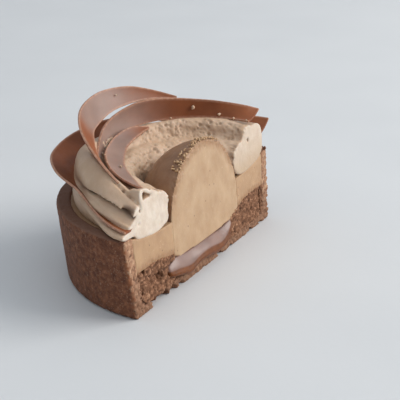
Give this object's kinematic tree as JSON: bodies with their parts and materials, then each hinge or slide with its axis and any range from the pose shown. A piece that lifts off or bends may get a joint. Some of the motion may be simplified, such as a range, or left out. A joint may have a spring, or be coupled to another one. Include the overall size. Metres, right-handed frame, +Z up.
{
  "type": "chocolate tartlet half",
  "caption": "Half of a round chocolate tartlet cut upright: shell, sponge, caramel, filling, moulded dome, piped cream ring and thin chocolate curls.",
  "frame": {"origin": "on the surface the tartlet stands on, under the middle of the flat base of the half disc, 16 mm behind the cut face's line", "axes": "+X along the cut face, from the left end to the right end as seen from in front of the cut; +Y from the cut into the tartlet, towards its round back; +Z up"},
  "size_m": [0.0778, 0.04, 0.0422],
  "materials": {
    "shortcrust": "dark chocolate shortcrust, baked, fine grained and dull, with paler crumbs at the cut",
    "sponge_crumb": "chocolate sponge, torn and porous, dull",
    "caramel": "soft milk chocolate caramel, wet and glossy",
    "coffee_filling": "coffee coloured set filling, smooth knife cut with fine specks",
    "coffee_dome": "moulded coffee cream, browner satin skin outside, smooth cut face",
    "whipped_cream": "piped milk chocolate cream, soft and satin, fine holes where it is cut",
    "milk_chocolate": "thin tempered milk chocolate, smooth with a soft sheen and paler cut edges"
  },
  "bodies": {
    "root": {"crust": "shortcrust", "sponge": "sponge_crumb", "caramel": "caramel", "filling": "coffee_filling", "dome": "coffee_dome", "cream": "whipped_cream", "curl_tall": "milk_chocolate", "curl_outer_left": "milk_chocolate", "curl_long": "milk_chocolate", "curl_inner": "milk_chocolate", "curl_outer_right": "milk_chocolate"}
  },
  "joints": []
}
